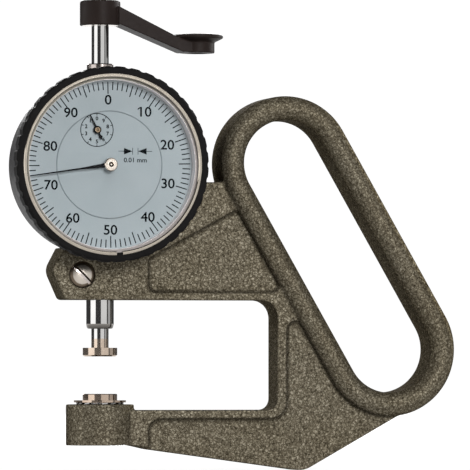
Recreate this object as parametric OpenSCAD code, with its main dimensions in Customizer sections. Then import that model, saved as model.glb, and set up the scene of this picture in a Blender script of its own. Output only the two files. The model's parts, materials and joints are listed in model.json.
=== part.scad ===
// Dial thickness gauge: a cast frame with a slanted loop handle, a dial gauge clamped by its
// stem, a lever that lifts the spindle, and a fixed anvil below. The origin is the middle of
// the anvil's measuring face, +Z runs up the spindle's axis and the dial faces -Y.
// The spindle is drawn lifted, as in use.

/* [Frame] */
// Thickness of the frame at its raised ribs
frame_t = 12.4; // [10:0.1:15]
// Depth of the sunk panels on each side
recess = 1.5; // [0.6:0.1:2.5]
// Depth of the throat behind the spindle's axis
throat = 51.2; // [46:0.1:55]
// Height of the arm's underside above the measuring face
arm_z = 27; // [25:0.1:29]
// Depth of the jaw's top below the measuring face
jaw_z = 4.7; // [4:0.1:7]
// Width of the rib along the arm's underside
rib_arm = 2.7; // [1.5:0.1:4]
// Width of the rib behind the throat
rib_throat = 3.3; // [2:0.1:5]
// Width of the rib along the top of the jaw
rib_jaw = 3; // [2:0.1:5]
// Distance from the spindle's axis to the panels' near ends
panel_x = 13.6; // [12:0.1:18]
// Height of the upper panel's near top corner above the measuring face
panel_top_z = 38.6; // [36:0.1:41]
// Slope of the upper panel's top edge, in degrees
panel_slope = 28.6; // [22:0.1:34]
// Reach of the arm's nose in front of the spindle's axis
nose_x = 15.2; // [13:0.1:18]
// Height of the nose's tip above the measuring face
nose_z = 35.6; // [33:0.1:38]
// Distance from the spindle's axis to the keel, the frame's lowest point
keel_x = 59.3; // [54:0.1:64]
// Depth of the keel below the measuring face
keel_z = 22.4; // [19:0.1:26]
// Height of the shoulder between the dial and the handle above the measuring face
shoulder_z = 61; // [57:0.1:64]
// Diameter of the boss that holds the anvil
boss_d = 19.6; // [16:0.1:24]
// Height of the boss
boss_h = 11.8; // [10.5:0.1:15]

/* [Handle] */
// Distance from the spindle's axis to the middle of the loop's lower end
loop_x = 84.6; // [82:0.1:90]
// Height of the middle of the loop's lower end above the measuring face
loop_z = 12.8; // [10:0.1:16]
// Distance between the middles of the loop's two round ends
loop_len = 62.1; // [57:0.1:68]
// Lean of the loop from upright, in degrees
loop_tilt = 29.8; // [28:0.1:32]
// Inner radius of the loop's round ends
loop_in_r = 12.5; // [11:0.1:13.5]
// Width of the grip's round section
grip_w = 6.9; // [6:0.1:8]
// Thickness of the grip from front to back
grip_t = 18; // [16:0.1:20]

/* [Anvil] */
// Diameter of the anvil's measuring face
anvil_d = 10; // [6:0.1:14]
// Height of the anvil above its flange
anvil_h = 1.84; // [1.2:0.02:2.4]
// Diameter of the anvil's flange
flange_d = 15.1; // [14.4:0.1:16]
// Thickness of the flange
flange_t = 0.62; // [0.5:0.02:1]
// Height of the toothed washer under the flange
washer_t = 0.58; // [0.5:0.02:0.8]
// Number of teeth on the washer
washer_teeth = 16; // [10:1:20]
// Diameter of the anvil's threaded shank
anvil_shank_d = 5; // [4:0.1:6]
// Length of the shank below the washer
anvil_shank_l = 9; // [6:0.1:10]

/* [Spindle] */
// Diameter of the spindle
spindle_d = 5; // [4.4:0.1:5.4]
// Lift of the contact above the anvil as drawn
lift = 10.73; // [8:0.01:10.9]
// Diameter of the contact's measuring face
contact_d = 10; // [6:0.1:14]
// Height of the contact's disc
contact_h = 2.5; // [1.5:0.1:3]
// Height of the contact's neck above its disc
contact_neck = 2.6; // [1:0.1:3.5]
// Diameter of the contact's threaded stub
contact_stub_d = 2.5; // [2:0.1:3]
// Length of the contact's threaded stub
contact_stub_l = 5.5; // [4:0.1:6]

/* [Stem and clamp] */
// Diameter of the clamped stem
stem_d = 8; // [7.6:0.1:9]
// Height of the stem's lower end above the measuring face
stem_end = 18.7; // [17:0.1:20]
// Diameter of the clamp screw's head
clamp_head_d = 7.4; // [6.8:0.1:7.8]
// Diameter of the clamp screw's shank
clamp_shank_d = 4; // [3:0.1:4.4]
// Height of the clamp screw above the measuring face
clamp_z = 34.2; // [33:0.1:34.8]

/* [Dial case] */
// Height of the case's underside above the measuring face
case_z = 39.86; // [39.4:0.02:41]
// Diameter of the case
case_d = 51.2; // [50:0.1:52]
// Wall of the case
case_wall = 2; // [1.6:0.1:2.4]
// Depth of the case behind the spindle's axis
case_back = 6; // [5.6:0.1:8]
// Thickness of the rear cover
cover_t = 1.6; // [1.2:0.1:2.4]
// Number of screws in the rear cover
cover_screw_count = 4; // [3:1:6]
// Diameter of the guide collar on top of the case
collar_d = 7.7; // [6.8:0.1:9]
// Rise of the collar above the top of the case
collar_rise = 3.94; // [2.5:0.02:5]

/* [Bezel and dial] */
// Distance from the spindle's axis forward to the dial's face
dial_y = 13.2; // [13:0.1:15]
// Wall of the bezel's knurled rim
rim_wall = 2.27; // [2:0.01:4]
// Depth of the bezel's knurled rim
bezel_depth = 5; // [4.6:0.1:5.2]
// Distance from the dial's face to the window
window_y = 4.5; // [4:0.1:5.5]
// Thickness of the window
window_t = 0.8; // [0.6:0.1:1.5]
// Number of scallops around the rim
scallop_count = 40; // [30:1:50]
// Depth of the scallops
scallop_depth = 0.35; // [0.2:0.05:0.5]
// Width of the split ring
ring_w = 1.1; // [0.9:0.05:1.3]
// Thickness of the split ring
ring_t = 0.7; // [0.5:0.05:0.8]
// Gap in the split ring
ring_gap = 1.85; // [1:0.05:3]
// Thickness of the dial and the scale ring
dial_t = 0.5; // [0.4:0.05:0.6]
// Diameter of the fixed middle of the dial
inner_dial_d = 30.4; // [29.6:0.1:31.6]
// Gap between the fixed dial and the turning scale ring
dial_gap = 0.3; // [0.25:0.01:0.4]
// Turn of the scale ring from upright, anticlockwise, in degrees
scale_turn = 1.1; // [-20:0.1:20]

/* [Lifting lever] */
// Diameter of the lever's hub
hub_d = 11.7; // [10:0.1:14]
// Height of the hub
hub_h = 7.2; // [6.5:0.1:9]
// Width of the lever's arm
arm_w = 9; // [6:0.1:9.6]
// Distance from the spindle's axis to the middle of the thumb pad
pad_x = 28.6; // [26:0.1:34]
// Diameter of the thumb pad
pad_d = 15.2; // [13:0.1:18]
// Diameter of the post under the pad
post_d = 10.2; // [10:0.1:12]
// Drop of the post's end below the hub's underside
post_drop = 7.56; // [5:0.02:9]
// Height of the pad's rim above the post's end
pad_rise = 4.65; // [4:0.05:6]

/* [Gear train] */
// Teeth of the pinion that runs on the rack
rack_teeth = 16; // [14:1:17]
// Teeth of the two large wheels
wheel_teeth = 100; // [80:2:110]
// Teeth of the pointer's pinion
centre_teeth = 10; // [10:1:12]
// Spindle travel for one turn of the small hand
counter_travel = 10; // [9.5:0.5:10.5]
// Height of the small hand's axis above the pointer's axis
counter_z = 9.92; // [9.6:0.02:10.2]
// Diameter of the arbors
arbor_d = 1.2; // [1:0.05:1.3]

/* [Fits] */
// Radial clearance where a piece slides or turns
run_gap = 0.03; // [0.02:0.01:0.08]
// Radial clearance where a piece is fixed
seat_gap = 0.02; // [0.01:0.01:0.04]
// Radial clearance between the case and the turning bezel
bezel_gap = 0.08; // [0.05:0.01:0.1]
// Clearance between pieces that pass each other
pass_gap = 0.3; // [0.25:0.05:0.4]

/* [Hidden] */
$fn = 96;
arc_steps = 10;
eps = 0.01;

frame_colour = "#6d6656";
steel_colour = "#c9c9c6";
nickel_colour = "#c8b9a3";
black_colour = "#2b2624";
case_colour = "#3a3a3d";
dial_colour = "#a3b0b8";
brass_colour = "#b58d4b";

// Radii that several pieces share
spindle_r = spindle_d/2;
stem_r = stem_d/2;
case_r = case_d/2;
case_in_r = case_r - case_wall;
grip_r = grip_w/2;
loop_mid_r = loop_in_r + grip_r;
hub_r = hub_d/2;
post_r = post_d/2;
pad_r = pad_d/2;
arbor_r = arbor_d/2;
inner_dial_r = inner_dial_d/2;
dial_z = case_z + case_r;

// Heights along the spindle's axis
flange_z = -anvil_h - flange_t;
boss_top = flange_z - washer_t;
contact_top = lift + contact_h + contact_neck;
case_top = dial_z + case_r;
case_floor = dial_z - case_r;
collar_top = case_top + collar_rise;
hub_z = collar_top + lift + pass_gap;
hub_top = hub_z + hub_h;
hub_web = 1.6;
spindle_top = hub_top - hub_web;

// Depths forward of the spindle's axis
dial_back = dial_y - dial_t;
plate_front = dial_back - pass_gap;
plate_t = 1.2;
plate_back = plate_front - plate_t;
window_back = dial_y + window_y;
window_front = window_back + window_t;
bezel_front = window_front + ring_t - 0.2;
bezel_back = bezel_front - bezel_depth;
ledge_t = 1.6;
bridge_t = 1;
bridge_back = spindle_r + 0.9;
bridge_front = bridge_back + bridge_t;
wheel_t = 0.8;
wheel_hub_h = 1.2;
wheel_back = bridge_front + 1.4;
counter_hand_back = dial_y + 0.6;
pointer_back = counter_hand_back + 1.2;
hand_t = 0.25;
hand_root = 0.72;
hand_tip = 0.15;
hand_eye_r = 1.6;

// Bezel section radii, from the lip of the case outwards
lip_out_r = case_r;
lip_in_r = case_r - 0.65;
skirt_out_r = lip_in_r - pass_gap;
skirt_in_r = skirt_out_r - 0.4;
rim_in_r = case_r + bezel_gap;
bezel_r = rim_in_r + rim_wall;
ring_out_r = skirt_in_r + 0.65 + ring_w;
window_r = ring_out_r - 0.6;
lip_front = window_back - 2.3;
wire_r = 0.25;
wire_groove = 0.3;
wire_y = lip_front - 0.7;

// Gear train: the rack is cut 0.35 mm into the spindle's left side
tooth_rise = 0.6;
tooth_fall = 1.1;
tooth_root_half = 0.28;
tooth_tip_half = 0.13;
rack_pitch = counter_travel/rack_teeth;
rack_m = rack_pitch/PI;
rack_tip_x = spindle_r - 0.35;
rack_line_x = rack_tip_x - tooth_rise*rack_m;
counter_x = -(rack_line_x + rack_teeth*rack_m/2);
counter_at = [counter_x, counter_z];
wheel_m = 2*norm(counter_at)/(wheel_teeth + centre_teeth);
wheel_tip_r = wheel_m*(wheel_teeth/2 + tooth_rise);
train_angle = atan2(counter_z, counter_x);
pillar_reach = wheel_tip_r*1.3;
pillar_at = pillar_reach*[cos(train_angle - 90), sin(train_angle - 90)];
pillar_r = 1.6;
bridge_screw_r = 0.7;
bridge_head_h = 0.8;
bridge_bite = 2.5;
rack_low = counter_z - 2;
rack_high = counter_z + lift + 1.6;
pointer_angle = 90 + scale_turn - 360*(lift - floor(lift));
counter_angle = 90 + 360*(lift - counter_travel*floor(lift/counter_travel))/counter_travel;

// Inner ledges of the case and the screws in them
back_ledge_r = case_in_r - 3.8;
front_ledge_r = case_in_r - 3;
cover_screw_ring = case_in_r - 1.9;
plate_screw_ring = case_in_r - 1.95;
small_screw_r = 0.8;
small_head_r = 1.5;

// Spindle guide and measuring spring, behind the gear train
pin_r = 0.9;
pin_y = -2;
pin_end = spindle_r + 4.9;
rail_in_x = spindle_r + 3.4;
rail_out_x = spindle_r + 6.1;
rail_strip_front = 4.4 - bridge_t;
spring_r = 1;
spring_wire_r = 0.15;
spring_turns = 12;
spring_x = spindle_r + 1.75;
post_pin_r = 0.6;
rail_rise = 3;
rail_foot = -back_ledge_r - 1.4;
spring_post_y = rail_foot + 1;

// Clamp screw: its head wedges on the stem
clamp_head_r = clamp_head_d/2;
clamp_shank_r = clamp_shank_d/2;
clamp_x = -(stem_r + clamp_shank_r + 0.35);
clamp_chord = clamp_x + clamp_head_r;
clamp_wedge = sqrt(max(stem_r*stem_r - min(clamp_chord, 0)*min(clamp_chord, 0), 1)) + 0.1;
clamp_face = frame_t/2 - 0.2;

// Points of the frame's outline, as [x, z] and, where a corner is round, its radius
case_gap = 0.6;
loop_low = [loop_x, loop_z];
loop_along = [-sin(loop_tilt), cos(loop_tilt)];
loop_left = [-cos(loop_tilt), -sin(loop_tilt)];
loop_high = loop_low + loop_len*loop_along;
nose_lean = 27.5;
nose_foot_x = nose_x - (nose_z - arm_z)*tan(nose_lean)*0.85;
nose_head = [-nose_x, nose_z] + 15*[sin(nose_lean), cos(nose_lean)];
heel_angle = -67;
heel = loop_low + (loop_mid_r + grip_r*0.7)*[cos(heel_angle), sin(heel_angle)];
jaw_root = boss_top - boss_h + 0.7;

function unit(v) = v/norm(v);
function polar(r, a) = r*[cos(a), sin(a)];

// Points of one corner at b, between a and c, rounded with radius r
function corner(a, b, c, r) =
    r <= 0 ? [b] :
    let (
        u = unit(a - b),
        w = unit(c - b),
        half = acos(max(-1, min(1, u*w)))/2,
        middle = b + unit(u + w)*r/sin(half),
        p = b + u*r/tan(half) - middle,
        q = b + w*r/tan(half) - middle,
        start = atan2(p.y, p.x),
        turn = atan2(q.y, q.x) - start,
        sweep = turn > 180 ? turn - 360 : turn < -180 ? turn + 360 : turn
    )
    [for (i = [0:arc_steps]) middle + polar(r, start + sweep*i/arc_steps)];

// Outline with round corners, from points [x, y, radius]
function rounded(points) =
    let (n = len(points), xy = [for (p = points) [p[0], p[1]]])
    [for (i = [0:n - 1]) each corner(xy[(i + n - 1)%n], xy[i], xy[(i + 1)%n], points[i][2])];

// Outline of a spur gear with slim, straight-sided teeth
function gear_outline(teeth, m) = [
    for (i = [0:teeth - 1])
        for (c = [
            [-tooth_root_half, -tooth_fall],
            [-tooth_tip_half, tooth_rise],
            [tooth_tip_half, tooth_rise],
            [tooth_root_half, -tooth_fall]
        ])
            polar(m*(teeth/2 + c[1]), 360*(i + c[0])/teeth)
];

plate_outline = rounded([
    [0, jaw_root, 0],
    [keel_x, -keel_z, 7],
    [heel.x, heel.y, 0],
    [loop_low.x, loop_low.y, 0],
    [loop_high.x, loop_high.y, 0],
    [loop_high.x - loop_in_r*0.6, shoulder_z, 0],
    [0, shoulder_z, 0],
    [nose_head.x, nose_head.y, 0],
    [-nose_x, nose_z, 4],
    [-nose_foot_x, arm_z, 1.2],
    [throat, arm_z, 5],
    [throat, -jaw_z, 3],
    [0, -jaw_z, 0]
]);

// Line where the handle's flank meets the panels, as a distance along the handle
flank = loop_mid_r + grip_r - 0.45;
flank_foot = loop_low + flank*loop_left;
function flank_at_height(z) = (z - flank_foot.y)/loop_along.y;
function flank_at_side(x) = (x - flank_foot.x)/loop_along.x;
function flank_point(s) = flank_foot + s*loop_along;

upper_low_z = arm_z + rib_arm;
upper_tan = tan(panel_slope);
upper_high_s = (panel_top_z + upper_tan*(flank_foot.x - panel_x) - flank_foot.y)
    /(loop_along.y - upper_tan*loop_along.x);
upper_low_s = flank_at_height(upper_low_z);
upper_high = flank_point(upper_high_s);
upper_low = flank_point(upper_low_s);
upper_panel = rounded([
    [panel_x, panel_top_z, 1],
    [upper_high.x, upper_high.y, 1.5],
    [upper_low.x, upper_low.y, 2.2],
    [panel_x, upper_low_z, 1.5]
]);

lower_side_x = throat + rib_throat;
lower_top_z = -jaw_z - rib_jaw;
lower_apex_s = flank_at_side(lower_side_x);
lower_apex = flank_point(lower_apex_s);
below = -keel_z - 20;
lower_panel = rounded([
    [panel_x, below, 0],
    [panel_x, lower_top_z, 3],
    [lower_side_x, lower_top_z, 5.5],
    [lower_side_x, lower_apex.y, 2.4],
    [flank_foot.x, flank_foot.y, 0],
    [loop_low.x, loop_low.y, 0],
    [loop_low.x + loop_mid_r*2, below, 0]
]);

// Drawing plane of the frame: x to the right, y up, z towards the viewer
module in_plane() { rotate([90, 0, 0]) children(); }

// The same plane with its origin at the dial's middle
module on_dial() { translate([0, 0, dial_z]) in_plane() children(); }

// The handle's own plane: origin at its lower end, y along it
module on_loop() { translate([loop_x, 0, loop_z]) in_plane() rotate(loop_tilt) children(); }

// The clamp screw's own plane
module on_clamp() { translate([clamp_x, 0, clamp_z]) in_plane() children(); }

// Cylinder from one height to another
module rod(r, z0, z1) { translate([0, 0, z0]) cylinder(r = r, h = z1 - z0); }

// Flat bar with round ends, from one height to another
module link(a, b, r, z0, z1) {
    along = b - a;
    for (p = [a, b]) translate([p.x, p.y, 0]) rod(r, z0, z1);
    translate([a.x, a.y, z0]) rotate(atan2(along.y, along.x)) translate([0, -r, 0])
        cube([norm(along), 2*r, z1 - z0]);
}

// Screw with a slotted cheese head; its head stands on the plane z = 0
module slotted_screw(head_r, head_h, shank_r, shank_l, slot_angle) {
    slot_w = head_r*0.36;
    difference() {
        union() {
            rod(head_r, 0, head_h);
            rod(shank_r, -shank_l, eps);
        }
        translate([0, 0, head_h]) rotate(slot_angle) cube([3*head_r, slot_w, head_h], center = true);
    }
}

// Places children at equal angles on a circle
module around(count, r, first) {
    for (i = [0:count - 1]) rotate(first + 360*i/count) translate([r, 0, 0]) children();
}

// Stadium prism in the handle's plane
module loop_core(r, h) {
    for (y = [0, loop_len]) translate([0, y, 0]) cylinder(r = r, h = h, center = true);
    translate([-r, 0, -h/2]) cube([2*r, loop_len, h]);
}

module grip_section() {
    side = (grip_t - grip_w)/2;
    for (y = [-side, side]) translate([0, y]) circle(r = grip_r);
    translate([-grip_r, -side]) square([grip_w, 2*side]);
}

module handle_loop() {
    on_loop() {
        for (end = [0, 1]) translate([0, end*loop_len, 0]) rotate(end*180 + 180)
            rotate_extrude(angle = 180) translate([loop_mid_r, 0]) grip_section();
        for (s = [-1, 1]) translate([s*loop_mid_r, 0, 0]) rotate([-90, 0, 0])
            linear_extrude(loop_len) grip_section();
    }
}

module frame_plate() {
    difference() {
        in_plane() linear_extrude(frame_t, center = true) polygon(plate_outline);
        on_dial() cylinder(r = case_r + case_gap, h = 2*frame_t, center = true);
        on_loop() loop_core(loop_mid_r, 2*frame_t);
    }
}

// Sunk panels; they reach into the handle's flank
module frame_panels() {
    for (side = [-1, 1]) translate([0, side*frame_t/2, 0]) in_plane() linear_extrude(2*recess, center = true) {
        polygon(upper_panel);
        polygon(lower_panel);
    }
}

module frame_casting() {
    color(frame_colour) difference() {
        union() {
            difference() {
                frame_plate();
                frame_panels();
            }
            handle_loop();
            rod(boss_d/2, boss_top - boss_h, boss_top);
        }
        rod(stem_r + seat_gap, arm_z - 1, dial_z);
        on_clamp() cylinder(r = clamp_head_r + 0.1, h = 2*frame_t, center = true);
        rod(anvil_shank_d/2 + seat_gap, boss_top - anvil_shank_l - 0.5, boss_top + 1);
    }
}

module clamp_screw() {
    slot_w = 1.2;
    slot_deep = 1.3;
    bevel = 0.95;
    color(nickel_colour) on_clamp() difference() {
        rotate_extrude() polygon([
            [0, -clamp_face + 0.6], [clamp_shank_r, -clamp_face + 0.6], [clamp_shank_r, clamp_wedge],
            [clamp_head_r, clamp_wedge], [clamp_head_r, clamp_face - bevel/2],
            [clamp_head_r - bevel, clamp_face], [0, clamp_face]
        ]);
        translate([0, 0, clamp_face]) rotate(-45) cube([3*clamp_head_r, slot_w, 2*slot_deep], center = true);
    }
}

module clamp_nut() {
    color(nickel_colour) on_clamp() difference() {
        rod(clamp_head_r, -clamp_face, -clamp_wedge);
        cylinder(r = clamp_shank_r + seat_gap, h = 2*frame_t, center = true);
    }
}

module anvil() {
    edge = 0.2;
    color(nickel_colour) {
        rotate_extrude() polygon([
            [0, boss_top - anvil_shank_l], [anvil_shank_d/2, boss_top - anvil_shank_l],
            [anvil_shank_d/2, flange_z], [flange_d/2, flange_z], [flange_d/2, -anvil_h],
            [anvil_d/2, -anvil_h], [anvil_d/2, -edge], [anvil_d/2 - edge, 0], [0, 0]
        ]);
    }
}

// Flat ring with a crown of twisted teeth
module anvil_washer() {
    in_r = anvil_shank_d/2 + 0.2;
    out_r = flange_d/2 - 0.75;
    ring_r = out_r - 1.4;
    leaf = washer_t*0.5;
    tooth_w = 2*PI*out_r/washer_teeth*0.6;
    twist = asin(washer_t*0.42/tooth_w);
    color(steel_colour) translate([0, 0, boss_top + washer_t/2]) difference() {
        union() {
            cylinder(r = ring_r, h = leaf, center = true);
            around(washer_teeth, (ring_r + out_r)/2 - 0.2, 0) rotate([twist, 0, 0])
                cube([out_r - ring_r + 0.4, tooth_w, leaf], center = true);
        }
        cylinder(r = in_r, h = 4, center = true);
    }
}

// Round case, turned with an inner ledge for the cover and one for the movement, and a front lip
module dial_case() {
    ledge_front = -case_back + ledge_t;
    front_seat = plate_back;
    color(case_colour) on_dial() difference() {
        rotate_extrude() polygon([
            [back_ledge_r, -case_back], [case_r, -case_back],
            [lip_out_r, wire_y - wire_groove], [lip_out_r - wire_groove, wire_y - wire_groove],
            [lip_out_r - wire_groove, wire_y + wire_groove], [lip_out_r, wire_y + wire_groove],
            [lip_out_r, lip_front], [lip_in_r, lip_front], [lip_in_r, plate_front],
            [case_in_r, plate_front], [case_in_r, front_seat], [front_ledge_r, front_seat],
            [front_ledge_r, front_seat - 2], [case_in_r, front_seat - 4],
            [case_in_r, ledge_front], [back_ledge_r, ledge_front]
        ]);
        rotate([90, 0, 0]) cylinder(r = stem_r + seat_gap, h = 2*case_r);
        rotate([-90, 0, 0]) cylinder(r = collar_d/2 + seat_gap, h = 2*case_r);
        around(cover_screw_count, cover_screw_ring, 45) rod(small_screw_r + seat_gap, -case_back - 1, 0);
        around(3, plate_screw_ring, 30) rod(small_screw_r + seat_gap, front_seat - 1.8, front_seat + 1);
        for (s = [-1, 1]) translate([s*rear_screw_x, counter_z, 0])
            rod(bridge_screw_r + seat_gap, -case_back + 0.3, 0);
    }
}

module back_cover() {
    cover_r = case_r - 0.8;
    bevel = 0.6;
    back = case_back + cover_t;
    color(case_colour) on_dial() difference() {
        rotate_extrude() polygon([
            [0, -back], [cover_r - bevel, -back], [cover_r, -back + bevel], [cover_r, -case_back], [0, -case_back]
        ]);
        around(cover_screw_count, cover_screw_ring, 45) {
            rod(small_screw_r + seat_gap, -back - 1, 0);
            rod(small_head_r + 0.1, -back - 1, -back + 0.8);
        }
    }
}

module cover_screws() {
    color(steel_colour) on_dial() around(cover_screw_count, cover_screw_ring, 45)
        translate([0, 0, -case_back - cover_t + 0.8]) rotate([180, 0, 0])
            slotted_screw(small_head_r, 0.8, small_screw_r, cover_t - 0.8 + ledge_t - 0.3, 30);
}

// Tube pressed into the case and clamped in the frame
module stem() {
    top = case_floor + case_wall + 1;
    nose_h = 1.4;
    nose_w = stem_wall*0.76;
    color(steel_colour) rotate_extrude() polygon(concat(
        [[bush_r, stem_end]],
        [for (a = [0:15:90]) [stem_r - nose_w*(1 - sin(a)), stem_end + nose_h*(1 - cos(a))]],
        [[stem_r, top], [bush_r, top]]
    ));
}
stem_wall = 0.8;
bush_r = stem_r - stem_wall;

module lower_bush() {
    color(brass_colour) difference() {
        rod(bush_r - seat_gap, stem_end + 0.3, stem_end + 8);
        rod(spindle_r + run_gap, stem_end - 1, stem_end + 9);
    }
}

// Guide collar pressed into the top of the case
module upper_bush() {
    inside = case_top - case_wall - 1.5;
    bevel = 0.3;
    collar_r = collar_d/2;
    color(steel_colour) rotate_extrude() polygon([
        [spindle_r + run_gap, inside], [collar_r, inside], [collar_r, collar_top - bevel],
        [collar_r - bevel, collar_top], [spindle_r + run_gap, collar_top]
    ]);
}

// Arbor holes of the train, at the pointer, the counter and the take-up wheel
module arbor_holes(z0, z1) {
    for (p = [[0, 0], counter_at, -counter_at]) translate([p.x, p.y, 0]) rod(arbor_r + run_gap, z0, z1);
}

module front_plate() {
    color(brass_colour) on_dial() difference() {
        union() {
            rod(case_in_r - 0.1, plate_back, plate_front);
            rod(inner_dial_r - 0.1, plate_front - eps, dial_back);
        }
        arbor_holes(plate_back - 1, dial_y);
        around(3, plate_screw_ring, 30) {
            rod(small_screw_r + seat_gap, plate_back - 1, dial_y);
            rod(small_head_r + 0.1, plate_front - 0.7, dial_y);
        }
    }
}

module plate_screws() {
    color(steel_colour) on_dial() around(3, plate_screw_ring, 30) translate([0, 0, plate_front - 0.7])
        slotted_screw(small_head_r, 0.65, small_screw_r, plate_t - 0.7 + 1.5, 60);
}

// Cross-shaped bridge in front of the spindle, on two pillars
module centre_bridge() {
    color(brass_colour) on_dial() difference() {
        union() {
            link(counter_at, -counter_at, 2.4, bridge_back, bridge_front);
            link(pillar_at, -pillar_at, pillar_r + 0.8, bridge_back, bridge_front);
        }
        arbor_holes(bridge_back - 1, bridge_front + 1);
        for (s = [-1, 1]) translate(s*pillar_at) rod(bridge_screw_r + seat_gap, bridge_back - 1, bridge_front + 1);
    }
}

module bridge_pillars() {
    color(brass_colour) on_dial() for (s = [-1, 1]) translate(s*pillar_at) difference() {
        rod(pillar_r, bridge_front, plate_back);
        rod(bridge_screw_r + seat_gap, bridge_front - 1, bridge_front + bridge_bite + 0.5);
    }
}

module bridge_screws() {
    color(steel_colour) on_dial() for (s = [-1, 1]) translate([s*pillar_at.x, s*pillar_at.y, bridge_back])
        rotate([180, 0, 0]) slotted_screw(pillar_r - 0.1, bridge_head_h, bridge_screw_r, bridge_t + bridge_bite, 20);
}

rear_back = -case_back + ledge_t;
rear_front = rear_back + bridge_t;
rear_half_w = 2.6;
rear_reach = sqrt(pow(case_in_r - 0.4, 2) - pow(counter_z + rear_half_w, 2));
rear_head_r = 1.05;
rear_screw_x = rear_reach - rear_head_r - 0.1;

// Bar behind the spindle that carries the rear pivot of the rack pinion
module rear_bridge() {
    color(brass_colour) on_dial() difference() {
        translate([-rear_reach, counter_z - rear_half_w, rear_back])
            cube([2*rear_reach, 2*rear_half_w, bridge_t]);
        translate(counter_at) rod(arbor_r + run_gap, rear_back - 1, rear_front + 1);
        for (s = [-1, 1]) translate([s*rear_screw_x, counter_z, 0])
            rod(bridge_screw_r + seat_gap, rear_back - 1, rear_front + 1);
    }
}

module rear_bridge_screws() {
    color(steel_colour) on_dial() for (s = [-1, 1]) translate([s*rear_screw_x, counter_z, rear_front])
        slotted_screw(rear_head_r, bridge_head_h, bridge_screw_r, bridge_t + ledge_t - 0.4, 0);
}

module inner_dial() {
    color(dial_colour) on_dial() difference() {
        rod(inner_dial_r, dial_back, dial_y);
        for (p = [[0, 0], counter_at]) translate(p) rod(arbor_r + 0.3, dial_back - 1, dial_y + 1);
    }
}

// Open wire ring in the groove between case and bezel
module bezel_spring() {
    color(steel_colour) on_dial() translate([0, 0, wire_y]) rotate(100)
        rotate_extrude(angle = 340) translate([lip_out_r + bezel_gap/2, 0]) circle(r = wire_r);
}

// Slotted rail that keeps the spindle from turning
module guide_rail() {
    top = pin_y + rail_rise;
    slot = pin_r + run_gap;
    color(brass_colour) on_dial() difference() {
        union() {
            translate([rail_in_x, rail_foot + 2.6, rear_back + eps])
                cube([rail_out_x - rail_in_x, top - rail_foot - 2.6, spindle_r - rear_back]);
            translate([spring_x - 1, rail_foot, rear_back])
                cube([rail_out_x - spring_x + 1, top - rail_foot, bridge_t]);
        }
        translate([0, rail_foot, -slot]) cube([pin_end + 0.2, top - rail_foot + 1, 2*slot]);
        translate([spring_x, spring_post_y, 0]) rod(post_pin_r, rear_back - 1, rear_front + 1);
    }
}

module spring_post() {
    color(steel_colour) on_dial() translate([spring_x, spring_post_y, 0])
        rod(post_pin_r - seat_gap, rear_back, spring_r + 0.3);
}

// Tension coil from the post up to the guide pin
module measuring_spring() {
    low = spring_post_y + post_pin_r + 0.25;
    high = pin_y - pin_r - 0.25;
    rings = 10;
    sides = 6;
    count = spring_turns*rings;
    rise = (high - low)/spring_turns;
    points = [
        for (i = [0:count])
            let (
                a = 360*i/rings,
                out = [cos(a), sin(a), 0],
                along = unit([-sin(a)*2*PI*spring_r, cos(a)*2*PI*spring_r, rise]),
                across = cross(along, out),
                middle = spring_r*out + [0, 0, rise*i/rings]
            )
            for (j = [0:sides - 1])
                middle + spring_wire_r*(cos(360*j/sides)*out + sin(360*j/sides)*across)
    ];
    walls = [
        for (i = [0:count - 1])
            for (j = [0:sides - 1])
                let (p = i*sides + j, q = i*sides + (j + 1)%sides)
                each [[p, q, p + sides], [q, q + sides, p + sides]]
    ];
    first = [for (j = [1:sides - 2]) [0, j + 1, j]];
    last = [for (j = [1:sides - 2]) [count*sides, count*sides + j, count*sides + j + 1]];
    color(steel_colour) translate([spring_x, 0, dial_z + low])
        polyhedron(points = points, faces = concat(walls, first, last));
}

hairspring_back = wheel_back + wheel_t + wheel_hub_h + pass_gap;
hairspring_out_r = 6;
hairspring_in_r = 1.5;
hairspring_turns = 4;
hairspring_w = 0.15;
hairspring_h = 0.6;
function hairspring_path(shift) = [
    for (i = [0:24*hairspring_turns])
        let (a = 15*i, part = i/(24*hairspring_turns))
        polar(hairspring_in_r + (hairspring_out_r - hairspring_in_r)*part + shift, a)
];
function reversed(list) = [for (i = [len(list) - 1:-1:0]) list[i]];

// Spiral from the take-up arbor's collet to its stud
module hairspring() {
    color("#8fa0b8") on_dial() translate([-counter_at.x, -counter_at.y, hairspring_back])
        linear_extrude(hairspring_h) polygon(concat(
            hairspring_path(-hairspring_w/2), reversed(hairspring_path(hairspring_w/2))
        ));
}

module hairspring_stud() {
    color(brass_colour) on_dial()
        translate([hairspring_out_r + 0.55 - counter_at.x, -counter_at.y, 0])
            rod(0.4, hairspring_back - 0.2, plate_back);
}

// Knurled rim with an inner skirt that carries the scale ring
module bezel_rim() {
    bevel = 0.6;
    back_bevel = 0.25;
    cut_r = 1.6;
    groove = wire_groove + 0.1;
    color(black_colour) on_dial() difference() {
        rotate_extrude() polygon([
            [skirt_in_r, dial_y], [skirt_out_r, dial_y], [skirt_out_r, lip_front + pass_gap],
            [rim_in_r, lip_front + pass_gap], [rim_in_r, wire_y + groove],
            [rim_in_r + groove, wire_y + groove], [rim_in_r + groove, wire_y - groove],
            [rim_in_r, wire_y - groove], [rim_in_r, bezel_back],
            [bezel_r - back_bevel, bezel_back], [bezel_r, bezel_back + back_bevel],
            [bezel_r, bezel_front - bevel], [bezel_r - bevel, bezel_front],
            [ring_out_r + seat_gap, bezel_front], [ring_out_r + seat_gap, window_front],
            [window_r + seat_gap, window_front], [window_r + seat_gap, window_back], [skirt_in_r, window_back]
        ]);
        around(scallop_count, bezel_r + cut_r - scallop_depth, 0) rod(cut_r, bezel_back - 1, bezel_front + 1);
    }
}

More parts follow.
